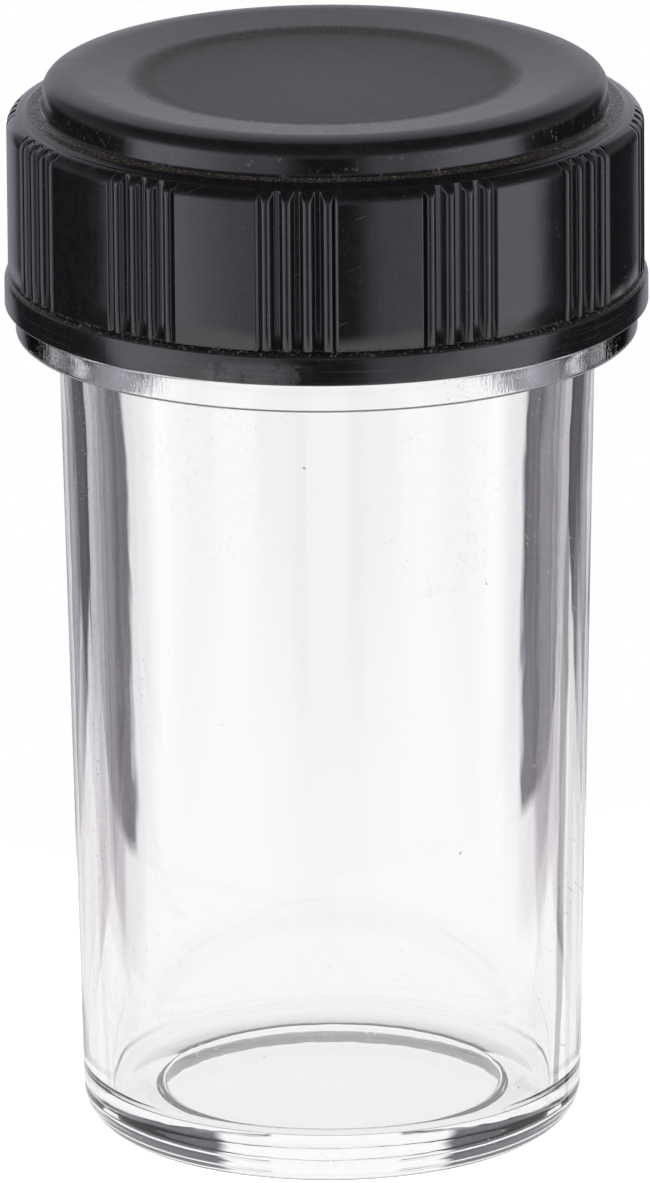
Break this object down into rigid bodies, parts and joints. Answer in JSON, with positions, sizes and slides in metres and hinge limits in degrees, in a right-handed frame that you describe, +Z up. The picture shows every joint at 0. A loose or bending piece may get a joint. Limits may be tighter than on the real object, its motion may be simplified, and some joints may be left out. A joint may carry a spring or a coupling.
{
  "type": "sample vial",
  "caption": "Clear cylindrical sample vial with a collar, a threaded neck and a black ribbed screw cap holding a sealing disc.",
  "frame": {"origin": "centre of the vial's foot, on the surface that it stands on", "axes": "+Z up along the vial's axis, towards the cap; +X and +Y across the body"},
  "size_m": [0.03, 0.03, 0.0509],
  "materials": {
    "clear_plastic": "clear polished",
    "cap_plastic": "satin moulded",
    "liner_board": "compressed pulp",
    "liner_film": "smooth white film"
  },
  "bodies": {
    "vial": {"vial_body": "clear_plastic"},
    "liner": {"liner_board": "liner_board", "liner_facing": "liner_film"},
    "cap": {"screw_cap": "cap_plastic"}
  },
  "joints": [
    {"name": "cap_lift", "type": "slide", "parent": "vial", "child": "liner", "axis": [0, 0, 1], "range_m": [0, 0.00801]},
    {"name": "cap_turn", "type": "hinge", "parent": "liner", "child": "cap", "pos_m": [0, 0, 0.045], "axis": [0, 0, 1], "range_deg": [0, 900]}
  ],
  "couplings": [
    {"joint": "cap_lift", "follows": "cap_turn", "m_per_rad": 0.0005093}
  ]
}
